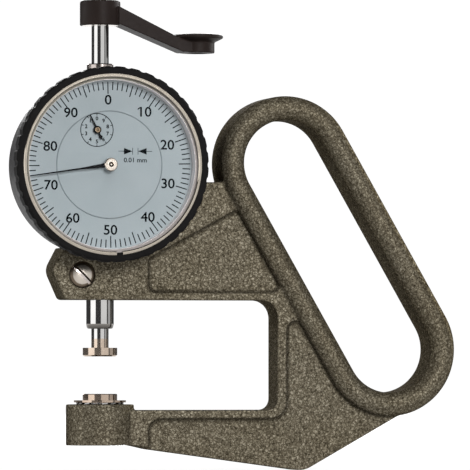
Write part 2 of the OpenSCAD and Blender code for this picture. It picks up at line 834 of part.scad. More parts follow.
// Split ring that holds the window
module snap_ring() {
    gap = ring_gap/ring_out_r*180/PI;
    bevel = 0.25;
    ring_in_r = ring_out_r - ring_w;
    color(nickel_colour) on_dial() rotate(-85.8 + gap/2) rotate_extrude(angle = 360 - gap) polygon([
        [ring_in_r, window_front], [ring_out_r, window_front], [ring_out_r, window_front + ring_t - bevel],
        [ring_out_r - bevel, window_front + ring_t], [ring_in_r + bevel, window_front + ring_t],
        [ring_in_r, window_front + ring_t - bevel]
    ]);
}

module crystal() {
    color("#dfe8ec", 0.25) on_dial() rod(window_r, window_back, window_front);
}

module scale_ring() {
    color(dial_colour) on_dial() difference() {
        rod(skirt_out_r - 0.05, dial_back, dial_y);
        rod(inner_dial_r + dial_gap, dial_back - 1, dial_y + 1);
    }
}

// Spindle with the rack on its left side, a cross hole for the guide pin and threads at both ends
module spindle() {
    gap_points = [
        [rack_tip_x + 0.5, 0.5 - tooth_tip_half + 0.11], [rack_tip_x, 0.5 - tooth_tip_half],
        [rack_line_x - tooth_fall*rack_m, 0.5 - tooth_root_half],
        [rack_line_x - tooth_fall*rack_m, tooth_root_half - 0.5],
        [rack_tip_x, tooth_tip_half - 0.5], [rack_tip_x + 0.5, tooth_tip_half - 0.5 - 0.11]
    ];
    gap_outline = [for (p = gap_points) [-p.x, p.y*rack_pitch]];
    below_teeth = floor((counter_z - rack_low)/rack_pitch);
    above_teeth = floor((rack_high - counter_z)/rack_pitch);
    color(steel_colour) difference() {
        rod(spindle_r, contact_top, spindle_top);
        on_dial() {
            translate([-rack_tip_x - spindle_r, rack_low, -spindle_r])
                cube([spindle_r, rack_high - rack_low, 2*spindle_r]);
            for (i = [-below_teeth:above_teeth]) translate([0, counter_z + i*rack_pitch, 0])
                linear_extrude(2*spindle_r, center = true) polygon(gap_outline);
            translate([0, pin_y, 0]) rotate([0, 90, 0]) cylinder(r = pin_r, h = 4*spindle_r, center = true);
        }
        rod(contact_stub_d/2 + seat_gap, contact_top - 1, contact_top + contact_stub_l + 0.5);
        rod(lever_screw_r + seat_gap, spindle_top - 5, spindle_top + 1);
    }
}
lever_screw_r = 1.2;

module contact_tip() {
    bevel = 0.4;
    contact_r = contact_d/2;
    disc_top = lift + contact_h;
    color(nickel_colour) rotate_extrude() polygon([
        [0, lift], [contact_r - bevel, lift], [contact_r, lift + bevel], [contact_r, disc_top],
        [spindle_r, disc_top], [spindle_r, contact_top], [contact_stub_d/2, contact_top],
        [contact_stub_d/2, contact_top + contact_stub_l], [0, contact_top + contact_stub_l]
    ]);
}

bush_in_r = spindle_r + seat_gap;
bush_out_r = hub_r - 0.65;
bush_t = 1.2;

// Hub on the spindle, sloping arm and thumb pad on a hollow post
module lifting_lever() {
    edge = 0.4;
    post_end = hub_z - post_drop;
    pad_z = post_end + pad_rise;
    arm_start = hub_r*0.8;
    pad_foot = pad_x - post_r;
    color(black_colour) difference() {
        union() {
            rotate_extrude() polygon([
                [0, hub_z], [hub_r, hub_z], [hub_r, hub_top - edge], [hub_r - edge, hub_top], [0, hub_top]
            ]);
            in_plane() linear_extrude(arm_w, center = true) polygon([
                [arm_start, hub_z + 0.4], [pad_foot, post_end + 0.15], [pad_x, post_end + 0.15],
                [pad_x, pad_z - 1.4], [pad_x - pad_r + 1.2, pad_z - 0.3], [arm_start, hub_z + 5.5]
            ]);
            translate([pad_x, 0, 0]) rotate_extrude() polygon([
                [0, post_end], [post_r, post_end], [post_r, pad_z - 1.55], [pad_r - 0.3, pad_z - 0.5],
                [pad_r, pad_z - 0.2], [pad_r, pad_z + 0.2], [pad_r - 0.5, pad_z + 0.6],
                [pad_r*0.5, pad_z + 1], [0, pad_z + 1.15]
            ]);
        }
        rod(bush_in_r, hub_z - 1, spindle_top);
        rod(bush_out_r + seat_gap, hub_z - 1, hub_z + bush_t);
        rod(lever_screw_r + 0.1, hub_z, hub_top + 1);
        translate([pad_x, 0, 0]) rod(post_r*0.56, post_end - 1, post_end + 3);
    }
}

module lever_bush() {
    color(nickel_colour) difference() {
        rod(bush_out_r, hub_z, hub_z + bush_t - seat_gap);
        rod(bush_in_r, hub_z - 1, hub_z + bush_t + 1);
    }
}

module lever_screw() {
    head_r = 2.2;
    head_h = 1.7;
    slot_w = 0.7;
    color(steel_colour) difference() {
        rotate_extrude() polygon([
            [0, spindle_top - 4.5], [lever_screw_r, spindle_top - 4.5], [lever_screw_r, hub_top],
            [head_r, hub_top], [head_r, hub_top + head_h*0.55], [head_r*0.8, hub_top + head_h*0.85],
            [head_r*0.45, hub_top + head_h], [0, hub_top + head_h]
        ]);
        translate([0, 0, hub_top + head_h]) cube([slot_w, 3*head_r, head_h], center = true);
    }
}

module guide_pin() {
    color(steel_colour) on_dial() translate([-spindle_r*0.6, pin_y, 0]) rotate([0, 90, 0])
        cylinder(r = pin_r - seat_gap, h = pin_end + spindle_r*0.6);
}

// Pinion that runs on the rack, in one piece with its arbor
module rack_pinion() {
    face = 2.4;
    color(steel_colour) on_dial() translate(counter_at) {
        rod(arbor_r, rear_back, counter_hand_back + hand_t);
        translate([0, 0, -face/2]) linear_extrude(face) polygon(gear_outline(rack_teeth, rack_m));
    }
}

// Wheel with a hub on the rack pinion's arbor
module toothed_wheel(phase) {
    difference() {
        union() {
            translate([0, 0, wheel_back]) rotate(phase) linear_extrude(wheel_t)
                polygon(gear_outline(wheel_teeth, wheel_m));
            rod(arbor_r + 1.4, wheel_back + wheel_t - eps, wheel_back + wheel_t + wheel_hub_h);
        }
        rod(arbor_r + seat_gap, wheel_back - 1, wheel_back + 4);
        around(4, wheel_m*wheel_teeth*0.28, 45) rod(wheel_m*wheel_teeth*0.13, wheel_back - 1, wheel_back + 2);
    }
}

module drive_wheel() {
    color(brass_colour) on_dial() translate(counter_at) toothed_wheel(train_angle + 180);
}

// Black hand with a short tail, on the rack pinion's arbor
module counter_hand() {
    reach = 4.7;
    tail = 3;
    color(black_colour) on_dial() translate([counter_at.x, counter_at.y, counter_hand_back])
        rotate(counter_angle) difference() {
            union() {
                linear_extrude(hand_t) polygon([
                    [-tail, -0.2], [0, -0.3], [reach, -0.12], [reach, 0.12], [0, 0.3], [-tail, 0.2]
                ]);
                translate([-tail*0.75, 0, 0]) rod(0.5, 0, hand_t);
                rod(1.15, 0, hand_t);
            }
            rod(arbor_r + seat_gap, -1, 1);
        }
}

module counter_hub() {
    color(brass_colour) on_dial() translate(counter_at)
        rod(arbor_r + 0.12, counter_hand_back + hand_t, counter_hand_back + hand_t + 0.4);
}

// Pinion of the pointer, in one piece with its arbor
module centre_pinion() {
    face = wheel_t + 1.2;
    color(steel_colour) on_dial() {
        rod(arbor_r, bridge_back + 0.1, pointer_back + hand_t);
        translate([0, 0, wheel_back - 0.6]) rotate(train_angle + 180/centre_teeth) linear_extrude(face)
            polygon(gear_outline(centre_teeth, wheel_m));
    }
}

// Tapered hand that ends at the scale
module pointer() {
    reach = skirt_in_r - 0.8;
    waist_x = reach*0.36;
    waist = (hand_root + 2*hand_tip)/4;
    color(black_colour) on_dial() translate([0, 0, pointer_back]) rotate(pointer_angle) difference() {
        union() {
            linear_extrude(hand_t) polygon([
                [0, -hand_root], [waist_x, -waist], [reach, -hand_tip],
                [reach, hand_tip], [waist_x, waist], [0, hand_root]
            ]);
            rod(hand_eye_r, 0, hand_t);
        }
        rod(arbor_r + seat_gap, -1, 1);
    }
}

module pointer_hub() {
    hub_out_r = 1.9;
    hub_h = 1.1;
    front = pointer_back + hand_t + hub_h;
    color(nickel_colour) on_dial() rotate_extrude() polygon([
        [0, pointer_back + hand_t], [hub_out_r, pointer_back + hand_t], [hub_out_r, front - 0.3],
        [hub_out_r - 0.3, front], [0.75, front], [0.6, front - 0.2], [0, front - 0.2]
    ]);
}

module takeup_arbor() {
    collet_r = hairspring_in_r - hairspring_w/2;
    color(steel_colour) on_dial() translate(-counter_at) {
        rod(arbor_r, bridge_back + 0.1, plate_front - 0.1);
        rod(collet_r, hairspring_back - 0.1, hairspring_back + hairspring_h + 0.1);
    }
}

module takeup_wheel() {
    half_pitch = (centre_teeth%2)*180/wheel_teeth;
    color(brass_colour) on_dial() translate(-counter_at) toothed_wheel(train_angle + half_pitch);
}

frame_casting();
clamp_screw();
clamp_nut();
anvil();
anvil_washer();
dial_case();
back_cover();
cover_screws();
stem();
lower_bush();
upper_bush();
front_plate();
plate_screws();
centre_bridge();
bridge_pillars();
bridge_screws();
rear_bridge();
rear_bridge_screws();
inner_dial();
bezel_spring();
guide_rail();
spring_post();
measuring_spring();
hairspring_stud();
bezel_rim();
snap_ring();
crystal();
scale_ring();
spindle();
contact_tip();
lifting_lever();
lever_bush();
lever_screw();
guide_pin();
rack_pinion();
drive_wheel();
counter_hand();
counter_hub();
centre_pinion();
pointer();
pointer_hub();
takeup_arbor();
takeup_wheel();
hairspring();
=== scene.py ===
import json
import math

import bmesh
import bpy
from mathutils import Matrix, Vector

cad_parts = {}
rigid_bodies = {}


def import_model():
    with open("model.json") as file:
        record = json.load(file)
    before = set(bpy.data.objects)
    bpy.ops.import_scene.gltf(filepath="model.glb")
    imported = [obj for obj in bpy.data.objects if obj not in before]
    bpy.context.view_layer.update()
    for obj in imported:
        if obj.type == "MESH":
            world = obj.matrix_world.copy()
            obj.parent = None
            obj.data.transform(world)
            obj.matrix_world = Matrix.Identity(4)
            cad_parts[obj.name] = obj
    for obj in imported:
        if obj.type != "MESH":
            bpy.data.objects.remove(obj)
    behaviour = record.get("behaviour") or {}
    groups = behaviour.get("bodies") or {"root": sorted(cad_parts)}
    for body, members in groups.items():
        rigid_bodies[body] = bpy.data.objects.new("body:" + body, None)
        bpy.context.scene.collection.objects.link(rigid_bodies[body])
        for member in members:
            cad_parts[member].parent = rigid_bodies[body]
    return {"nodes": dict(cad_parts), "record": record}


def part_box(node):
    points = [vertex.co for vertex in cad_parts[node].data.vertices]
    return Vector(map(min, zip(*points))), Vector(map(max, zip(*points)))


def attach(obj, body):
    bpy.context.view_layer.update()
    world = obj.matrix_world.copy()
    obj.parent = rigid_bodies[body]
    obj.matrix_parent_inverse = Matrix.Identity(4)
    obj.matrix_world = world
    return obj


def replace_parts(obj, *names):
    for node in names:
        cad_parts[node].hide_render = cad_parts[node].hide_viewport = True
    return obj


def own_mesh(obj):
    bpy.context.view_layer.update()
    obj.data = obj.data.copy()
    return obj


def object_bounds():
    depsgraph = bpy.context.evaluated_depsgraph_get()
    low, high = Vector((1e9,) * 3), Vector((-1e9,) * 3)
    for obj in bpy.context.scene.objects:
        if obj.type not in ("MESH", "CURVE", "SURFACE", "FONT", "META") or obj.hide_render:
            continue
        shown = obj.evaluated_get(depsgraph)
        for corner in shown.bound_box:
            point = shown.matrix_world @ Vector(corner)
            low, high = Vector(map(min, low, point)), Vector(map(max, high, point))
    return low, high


for left_over in list(bpy.data.objects):
    bpy.data.objects.remove(left_over)

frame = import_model()
cad_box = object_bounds()
nodes = frame["nodes"]
scene = bpy.context.scene
MM = 0.001

# Places from the CAD model, in millimetres; a pair is [x, z] of an axis that runs from front to back
DIAL_Z = 65.46
DIAL_Y = -13.2              # printed face of the dial
DIAL_AXIS = (0.0, DIAL_Z)
COUNTER = (-3.622, 75.38)   # small hand
HUB_RECESS = -16.15         # floor of the recess in the pointer's hub
WINDOW_BACK = -17.7
SKIRT_R = 24.25             # inside of the bezel
CLAMP = (-6.35, 34.2)       # clamp screw
CLAMP_Y = -6.0              # edge of its head

SCALE_TURN = 1.1            # turn of the outer scale at rest, in degrees


# Materials

def srgb(r, g, b):
    def one(c):
        c = c/255
        return c/12.92 if c <= 0.04045 else ((c + 0.055)/1.055)**2.4
    return one(r), one(g), one(b), 1.0


class Finish:
    """A procedural material, built on the shader of one Principled BSDF."""

    def __init__(self, name, **sockets):
        for old in [m for m in bpy.data.materials if m.name == name]:
            old.name = name + "_plain"
        self.material = bpy.data.materials.new(name)
        self.material.use_nodes = True
        self.tree = self.material.node_tree
        self.shader = self.tree.nodes["Principled BSDF"]
        for key, value in sockets.items():
            self.shader.inputs[key.replace("_", " ")].default_value = value

    def node(self, kind, inputs=(), **settings):
        made = self.tree.nodes.new("ShaderNode" + kind)
        for key, value in settings.items():
            setattr(made, key, value)
        for key, value in dict(inputs).items():
            self.feed(made.inputs[key], value)
        return made

    def feed(self, socket, value):
        """Links an output to a socket, or sets a plain value there."""
        if isinstance(value, bpy.types.NodeSocket):
            self.tree.links.new(value, socket)
        else:
            socket.default_value = value

    def place(self, scale=(1, 1, 1)):
        where = self.node("TexCoord").outputs["Object"]
        return self.node("Mapping", {"Vector": where, "Scale": scale}).outputs["Vector"]

    def noise(self, scale, detail=2.0, rough=0.5, stretch=(1, 1, 1)):
        inputs = {"Vector": self.place(stretch), "Scale": scale, "Detail": detail, "Roughness": rough}
        return self.node("TexNoise", inputs).outputs["Fac"]

    def ramp(self, value, stops):
        made = self.node("ValToRGB", {"Fac": value})
        points = made.color_ramp.elements
        while len(points) < len(stops):
            points.new(0.5)
        for point, (at, colour) in zip(points, stops):
            point.position = at
            point.color = colour if len(colour) == 4 else (*colour, 1.0)
        return made.outputs["Color"]

    def span(self, value, low, high, from_low=0.0, from_high=1.0):
        inputs = {
            "Value": value, "From Min": from_low, "From Max": from_high, "To Min": low, "To Max": high,
        }
        return self.node("MapRange", inputs).outputs["Result"]

    def tinted(self, colour, tint):
        inputs = {0: 1.0, 6: colour, 7: tint}    # factor and the two colours
        return self.node("Mix", inputs, data_type="RGBA", blend_type="MULTIPLY").outputs[2]

    def maths(self, operation, a, b):
        return self.node("Math", {0: a, 1: b}, operation=operation).outputs[0]

    def set(self, **sockets):
        for key, value in sockets.items():
            self.tree.links.new(value, self.shader.inputs[key.replace("_", " ")])

    def bump(self, height, strength, distance):
        inputs = {"Height": height, "Strength": strength, "Distance": distance}
        self.set(Normal=self.node("Bump", inputs).outputs["Normal"])


def hammered_paint():
    """Olive-grey hammer finish: puddles of paint with dark creases between them,
    and the flop of a flake paint."""
    f = Finish("frame_paint", Metallic=0.55, Specular_Tint=(0.1, 0.09, 0.08, 1.0), Specular_IOR_Level=0.0)
    warp = f.node("TexNoise", {"Vector": f.place(), "Scale": 1000.0, "Detail": 2.0})
    bent = f.node("VectorMath", {0: warp.outputs["Color"], "Scale": 0.0019}, operation="SCALE")
    moved = f.node("VectorMath", {0: f.place(), 1: bent.outputs[0]}, operation="ADD")
    edges = f.node("TexVoronoi", {"Vector": moved.outputs[0], "Scale": 1060.0, "Randomness": 1.0},
                   feature="DISTANCE_TO_EDGE").outputs["Distance"]
    puddles = f.span(edges, 0.0, 1.0, 0.0, 0.2)
    patches = f.noise(1350.0, 2.0, 0.6)
    fine = f.noise(3000.0, 1.0)
    grain = f.maths("ADD", f.maths("MULTIPLY", puddles, 0.25), f.maths("MULTIPLY", patches, 0.5))
    grain = f.maths("ADD", grain, f.maths("MULTIPLY", fine, 0.25))
    colour = f.ramp(grain, [
        (0.3, srgb(50, 45, 35)), (0.48, srgb(91, 84, 70)),
        (0.62, srgb(115, 108, 92)), (0.78, srgb(162, 155, 138)),
    ])
    broad = f.ramp(f.noise(55.0, 2.0), [(0.3, (0.95, 0.94, 0.92)), (0.7, (1.03, 1.04, 1.06))])
    # Painted shade: darker in concave corners and creases, such as the foot of the sunk panels' walls, by the
    # mesh's pointiness; convex edges paler, as wear
    edge = f.node("NewGeometry").outputs["Pointiness"]
    shade_and_wear = f.ramp(edge, [
        (0.43, (0.25, 0.23, 0.2)), (0.49, (1, 1, 1)), (0.52, (1, 1, 1)), (0.58, (1.25, 1.25, 1.25)),
    ])
    f.set(Base_Color=f.tinted(f.tinted(colour, broad), shade_and_wear))
    f.set(Roughness=f.span(grain, 0.58, 0.46, 0.3, 0.75))
    f.bump(grain, 0.45, 0.0003)
    return f.material


END_SHADE = 1.6    # length of the painted shade on the end of a tube, in millimetres


def turned_metal(name, dark, light, rough_low, rough_high,
                 stretch=(1, 1, 30), scale=180.0, marked=0.0, tip=None):
    """Machined metal: tool marks that are finer along a stretched direction, a faint cloudiness,
    and painted shade on the end, darkest at the given height and fading out above it, in metres."""
    f = Finish(name, Metallic=1.0)
    marks = f.noise(scale, 4.0, 0.7, stretch)
    cloud = f.noise(140.0, 2.0)
    colour = f.ramp(cloud, [(0.3, dark), (0.7, light)])
    if tip:
        # Painted shade: the tube darker at its end, fading out over END_SHADE above the given height
        height = f.node("SeparateXYZ", {0: f.node("TexCoord").outputs["Object"]}).outputs["Z"]
        end_shade = f.ramp(f.span(height, 0.0, 1.0, tip, tip + END_SHADE*MM), [
            (0.0, (0.13, 0.12, 0.11)), (0.84, (0.4, 0.38, 0.36)), (0.92, (1, 1, 1)),
        ])
        colour = f.tinted(colour, end_shade)
    f.set(Base_Color=colour)
    f.set(Roughness=f.span(marks, rough_low, rough_high, 0.3, 0.7))
    if marked:
        f.bump(marks, marked, 0.00001)
    return f.material


def turned_face(name, dark, light, rough_low, rough_high, centre, shade_outside=None):
    """Faced metal: rings of tool marks round an axis that runs from front to back,
    with painted shade outside a radius in millimetres."""
    f = Finish(name, Metallic=1.0)
    where = f.node("TexCoord").outputs["Object"]
    shifted = f.node("Mapping", {"Vector": where, "Location": (-centre[0]*MM, 0, -centre[1]*MM)})
    inputs = {"Vector": shifted.outputs[0], "Scale": 480.0, "Distortion": 1.5, "Detail": 2.0}
    rings = f.node("TexWave", inputs, wave_type="RINGS", rings_direction="Y").outputs["Fac"]
    cloud = f.noise(260.0, 2.0)
    colour = f.ramp(cloud, [(0.3, dark), (0.7, light)])
    if shade_outside:
        # Painted shade: the face darker outside the given radius
        flat = f.node("VectorMath", {0: shifted.outputs[0], 1: (1, 0, 1)}, operation="MULTIPLY")
        out = f.node("VectorMath", {0: flat.outputs[0]}, operation="LENGTH").outputs["Value"]
        edge = f.span(out, 0.0, 1.0, (shade_outside - 0.12)*MM, (shade_outside + 0.12)*MM)
        colour = f.tinted(colour, f.ramp(edge, [(0.0, (1, 1, 1)), (1.0, (0.3, 0.26, 0.22))]))
    f.set(Base_Color=colour)
    f.set(Roughness=f.span(rings, rough_low, rough_high))
    f.bump(rings, 0.02, 0.000004)
    return f.material


def lacquer(name, dark, light, rough_low, rough_high, grain, strength, gloss=0.08):
    """Smooth paint, print or moulded plastic with a fine orange-peel skin."""
    f = Finish(name, Specular_IOR_Level=gloss)
    skin = f.noise(grain, 3.0, 0.6)
    cloud = f.noise(90.0, 3.0)
    f.set(Base_Color=f.ramp(cloud, [(0.3, dark), (0.7, light)]))
    f.set(Roughness=f.span(skin, rough_low, rough_high, 0.3, 0.7))
    f.bump(skin, strength, 0.00004)
    return f.material


def worn_ledge():
    """Matt seat of the window, with painted light: darker towards its upper left as painted shade, paler
    towards its lower right.
    """
    half = 20*MM    # the shade changes over this far on either side of the axis
    f = Finish("bezel_ledge", Specular_IOR_Level=0.03)
    place = f.node("SeparateXYZ", {0: f.node("TexCoord").outputs["Object"]})
    across = f.maths("SUBTRACT", place.outputs["X"], place.outputs["Z"])
    light_across = f.span(across, 0.0, 1.0, -DIAL_Z*MM - half, -DIAL_Z*MM + half)
    f.set(Base_Color=f.ramp(light_across, [(0.0, srgb(146, 142, 131)), (1.0, srgb(168, 161, 158))]))
    f.set(Roughness=f.span(f.noise(2500.0), 0.6, 0.7, 0.3, 0.7))
    return f.material


def clear_window():
    f = Finish("window", Alpha=0.02, IOR=1.5)
    smear = f.noise(60.0, 3.0)
    f.set(Base_Color=f.ramp(smear, [(0.3, srgb(90, 96, 99)), (0.7, srgb(104, 110, 113))]))
    f.set(Roughness=f.span(smear, 0.03, 0.1, 0.3, 0.7))
    return f.material


# Tool marks: all over, or round an upright axis
EVEN = {"stretch": (1, 1, 1), "scale": 900.0, "marked": 0.05}
ROUND = {"stretch": (1, 1, 8), "scale": 300.0}
CHROME = (0.50, 0.495, 0.485), (0.57, 0.565, 0.555), 0.045, 0.07

# Finish of each material slot of the record
finish = {
    "frame_paint": hammered_paint(),
    "chrome": turned_metal("chrome", *CHROME),
    "steel": turned_metal("steel", (0.34, 0.33, 0.32), (0.44, 0.43, 0.42), 0.2, 0.32, **EVEN),
    "nickel": turned_metal("nickel", (0.44, 0.355, 0.285), (0.51, 0.42, 0.345), 0.11, 0.13, **ROUND),
    "brass": turned_metal("brass", (0.42, 0.31, 0.17), (0.55, 0.42, 0.25), 0.22, 0.36, **EVEN),
    "blue_steel": turned_metal("blue_steel", (0.13, 0.18, 0.32), (0.22, 0.28, 0.45), 0.2, 0.3, **EVEN),
    "case_black": lacquer("case_black", srgb(40, 39, 41), srgb(50, 49, 51), 0.35, 0.45, 500.0, 0.05),
    "rim_black": lacquer("rim_black", srgb(15, 14, 14), srgb(22, 21, 21), 0.62, 0.75, 1500.0, 0.12, 0.1),
    "lever_black": lacquer("lever_black", srgb(33, 26, 24), srgb(42, 34, 31), 0.42, 0.52, 1200.0, 0.06, 0.1),
    "dial_face": lacquer("dial_face", srgb(164, 175, 179), srgb(170, 180, 184), 0.42, 0.55, 2500.0, 0.03),
    "hand_black": lacquer("hand_black", srgb(7, 8, 10), srgb(13, 14, 16), 0.45, 0.5, 2500.0, 0.03, 0.03),
    "window": clear_window(),
}
ink = lacquer("print_ink", srgb(9, 12, 15), srgb(16, 20, 23), 0.5, 0.6, 3000.0, 0.02, 0.0)
thin_ink = lacquer("print_ink_thin", srgb(30, 35, 40), srgb(42, 48, 53), 0.5, 0.6, 3000.0, 0.02, 0.0)
# Painted shade for the joint between the fixed middle of the dial and the turning scale
joint_shade = lacquer("joint_grey", srgb(132, 142, 146), srgb(142, 151, 155), 0.5, 0.6, 2500.0, 0.02)
# Painted shade, for the dark side of the clamp screw's slot and the rings in the middle of the hubs
painted_shade = lacquer("slot_shadow", srgb(34, 28, 20), srgb(46, 38, 28), 0.5, 0.65, 2500.0, 0.05)
lining = turned_metal("bezel_lining", (0.82, 0.76, 0.75), (0.89, 0.83, 0.82), 0.5, 0.58, (1, 30, 1), 200.0)

# Nodes with a finish of their own
stem_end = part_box("stem")[0].z
faced = {
    # Painted shade on the stem's lower end
    "stem": turned_metal("chrome_tip", *CHROME, tip=stem_end),
    # Painted shade: a darker copy of the nickel, for the darker surroundings the anvil mirrors
    "anvil": turned_metal("anvil_nickel", (0.36, 0.28, 0.22), (0.43, 0.34, 0.27), 0.06, 0.08, **ROUND),
    "upper_bush": turned_metal("collar_nickel", (0.40, 0.355, 0.33), (0.48, 0.43, 0.40), 0.16, 0.22, **ROUND),
    "clamp_screw": turned_face("clamp_face", (0.43, 0.385, 0.33), (0.54, 0.49, 0.43), 0.3, 0.4,
                               CLAMP, shade_outside=2.75),
    "pointer_hub": turned_face("hub_face", (0.52, 0.465, 0.40), (0.62, 0.56, 0.49), 0.14, 0.2, DIAL_AXIS),
    "counter_hub": turned_face("counter_hub_face", (0.13, 0.095, 0.06), (0.18, 0.135, 0.09), 0.36, 0.46,
                               COUNTER),
    "snap_ring": turned_face("ring_face", (0.36, 0.32, 0.27), (0.43, 0.39, 0.33), 0.1, 0.15, DIAL_AXIS),
}

for part in frame["record"]["subparts"]:
    node = nodes[part["node"]]
    node.data.materials.clear()
    node.data.materials.append(faced.get(part["node"], finish[part["material_slot"]]))


# Pieces

def shown(name, mesh, material, body):
    piece = bpy.data.objects.new(name, mesh)
    scene.collection.objects.link(piece)
    mesh.materials.clear()
    mesh.materials.append(material)
    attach(piece, body)
    return piece


def lean_walls(mesh, top, floor, shift):
    """Leans the walls of sunk panels outwards, as a casting's draft does: the top edge of a wall between
    two depths moves away from the panel by the shift, all in millimetres."""
    near, upright = 0.01, 0.05

    def key(v):
        return tuple(round(c/MM, 3) for c in v.co)

    found = {}
    for polygon in mesh.polygons:
        corners = [key(mesh.vertices[i]) for i in polygon.vertices]
        high = [c for c in corners if abs(abs(c[1]) - top) < near]
        low = [c for c in corners if abs(abs(c[1]) - floor) < near]
        whole = len(high) + len(low) == len(corners)
        if abs(polygon.normal.y) < upright and high and low and whole:
            for c in high:
                n = (round(polygon.normal.x, 2), round(polygon.normal.z, 2))
                found.setdefault(c, set()).add(n)
    for v in mesh.vertices:
        normals = found.get(key(v))
        if normals:
            total = sum((Vector(n) for n in sorted(normals)), Vector((0, 0)))
            unit = total.normalized()
            step = shift*MM/max(0.5, min(unit.dot(Vector(n)) for n in normals))
            v.co.x -= unit.x*step
            v.co.z -= unit.y*step


def softened(name, node, body, slot, voxel, passes, draft=None):
    """A copy of a CAD node with its corners rounded, as cast or moulded; the voxel is in millimetres."""
    work = bpy.data.objects.new(name + "_work", nodes[node].data.copy())
    if draft:
        lean_walls(work.data, *draft)
    scene.collection.objects.link(work)
    weld = work.modifiers.new("weld", "WELD")
    weld.merge_threshold = 0.002*MM
    remesh = work.modifiers.new("remesh", "REMESH")
    remesh.mode = "VOXEL"
    remesh.voxel_size = voxel*MM
    remesh.use_smooth_shade = True
    smooth = work.modifiers.new("smooth", "SMOOTH")
    smooth.factor = 0.5
    smooth.iterations = passes
    bpy.context.view_layer.update()
    depsgraph = bpy.context.evaluated_depsgraph_get()
    mesh = bpy.data.meshes.new_from_object(work.evaluated_get(depsgraph))
    mesh.name = name
    bpy.data.objects.remove(work)
    for polygon in mesh.polygons:
        polygon.use_smooth = True
    piece = shown(name, mesh, finish[slot], body)
    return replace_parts(piece, node)


RIB_TOP, PANEL_FLOOR, DRAFT = 6.2, 4.7, 0.8
softened("frame_body", "frame_casting", "frame", "frame_paint", voxel=0.36, passes=2,
         draft=(RIB_TOP, PANEL_FLOOR, DRAFT))
softened("lever_body", "lifting_lever", "spindle", "lever_black", voxel=0.18, passes=5)


def prism(bm, outline, y0, y1):
    """Closed plate over an outline of [x, z] points in millimetres, anticlockwise from the front."""
    front = [bm.verts.new((x*MM, y0*MM, z*MM)) for x, z in outline]
    back = [bm.verts.new((x*MM, y1*MM, z*MM)) for x, z in outline]
    bm.faces.new(front)
    bm.faces.new(back[::-1])
    count = len(outline)
    for i in range(count):
        j = (i + 1) % count
        bm.faces.new((front[j], front[i], back[i], back[j]))


def tube(bm, centre, r0, r1, y0, y1, count=128):
    """Closed ring between two radii and two depths, in millimetres."""
    loops = []
    for r, y in ((r0, y0), (r1, y0), (r1, y1), (r0, y1)):
        loops.append([
            bm.verts.new(((centre[0] + r*math.cos(a))*MM, y*MM, (centre[1] + r*math.sin(a))*MM))
            for a in (2*math.pi*i/count for i in range(count))
        ])
    for k in range(4):
        a, b = loops[k], loops[(k + 1) % 4]
        for i in range(count):
            j = (i + 1) % count
            bm.faces.new((a[i], b[i], b[j], a[j]))


def stroke(bm, centre, angle, r0, r1, width, y0, y1):
    """Straight graduation line along a radius."""
    a = math.radians(angle)
    out, side = Vector((math.cos(a), math.sin(a))), Vector((-math.sin(a), math.cos(a)))
    c = Vector(centre)
    w = width/2
    prism(bm, [c + out*r0 - side*w, c + out*r1 - side*w, c + out*r1 + side*w, c + out*r0 + side*w], y0, y1)


def letters(bm, text, height, centre, y, weight, wide=1.0):
    """Upright figures, centred, as thin solids. Gives their left and top edge."""
    half_thick = 0.008
    curve = bpy.data.curves.new("figures", "FONT")
    curve.body = text
    curve.extrude = 0.004
    curve.bevel_depth = weight
    curve.bevel_resolution = 0
    curve.resolution_u = 5
    holder = bpy.data.objects.new("figures", curve)
    scene.collection.objects.link(holder)
    bpy.context.view_layer.update()
    depsgraph = bpy.context.evaluated_depsgraph_get()
    mesh = bpy.data.meshes.new_from_object(holder.evaluated_get(depsgraph))
    xs = [v.co.x for v in mesh.vertices]
    ys = [v.co.y for v in mesh.vertices]
    flat = half_thick/max(v.co.z for v in mesh.vertices)
    k = height/(max(ys) - min(ys))
    mid_x, mid_y = (max(xs) + min(xs))/2, (max(ys) + min(ys))/2
    for v in mesh.vertices:
        x, z, deep = (v.co.x - mid_x)*k*wide, (v.co.y - mid_y)*k, v.co.z*flat
        v.co = ((centre[0] + x)*MM, (y - deep)*MM, (centre[1] + z)*MM)
    bm.from_mesh(mesh)
    bpy.data.objects.remove(holder)
    bpy.data.curves.remove(curve)
    bpy.data.meshes.remove(mesh)
    return centre[0] - (max(xs) - min(xs))*k*wide/2, centre[1] + height/2


def from_bmesh(name, bm, material, body, smooth=False):
    sharp = 0.6
    bmesh.ops.recalc_face_normals(bm, faces=bm.faces)
    for edge in bm.edges:
        edge.smooth = len(edge.link_faces) == 2 and edge.calc_face_angle() < sharp
    mesh = bpy.data.meshes.new(name)
    bm.to_mesh(mesh)
    bm.free()
    for polygon in mesh.polygons:
        polygon.use_smooth = smooth
    return shown(name, mesh, material, body)


PRINT = (DIAL_Y - 0.02, DIAL_Y - 0.002)    # front and back of the lines
FIGURE_Y = DIAL_Y - 0.01                   # middle of the figures

# Outer scale, which turns with the bezel
LINE_OUT, LONG_IN, SHORT_IN, LINE_WIDTH = 23.7, 20.3, 21.4, 0.3
bm = bmesh.new()
for i in range(100):
    inner = LONG_IN if i % 5 == 0 else SHORT_IN
    stroke(bm, DIAL_AXIS, 90 + SCALE_TURN - 3.6*i, inner, LINE_OUT, LINE_WIDTH, *PRINT)
from_bmesh("scale_lines", bm, ink, "bezel")

FIGURE_R, SIDE_FIGURE_R, FIGURE_HIGH = 18.6, 17.95, 2.85
bm = bmesh.new()
for k in range(10):
    angle = math.radians(90 + SCALE_TURN - 36*k)
    reach = SIDE_FIGURE_R if k in (2, 3, 7, 8) else FIGURE_R
    at = (reach*math.cos(angle), DIAL_Z + reach*math.sin(angle))
    left, top = letters(bm, str(10*k), FIGURE_HIGH, at, FIGURE_Y, weight=0.014, wide=1.06)
    if k == 1:
        # Upstroke of the figure 1, which the font leaves off
        inside, outside = left + 0.05, left - 0.7
        prism(bm, [(inside, top), (outside, top - 0.55), (outside, top - 0.93), (inside, top - 0.4)], *PRINT)
from_bmesh("scale_figures", bm, ink, "bezel")

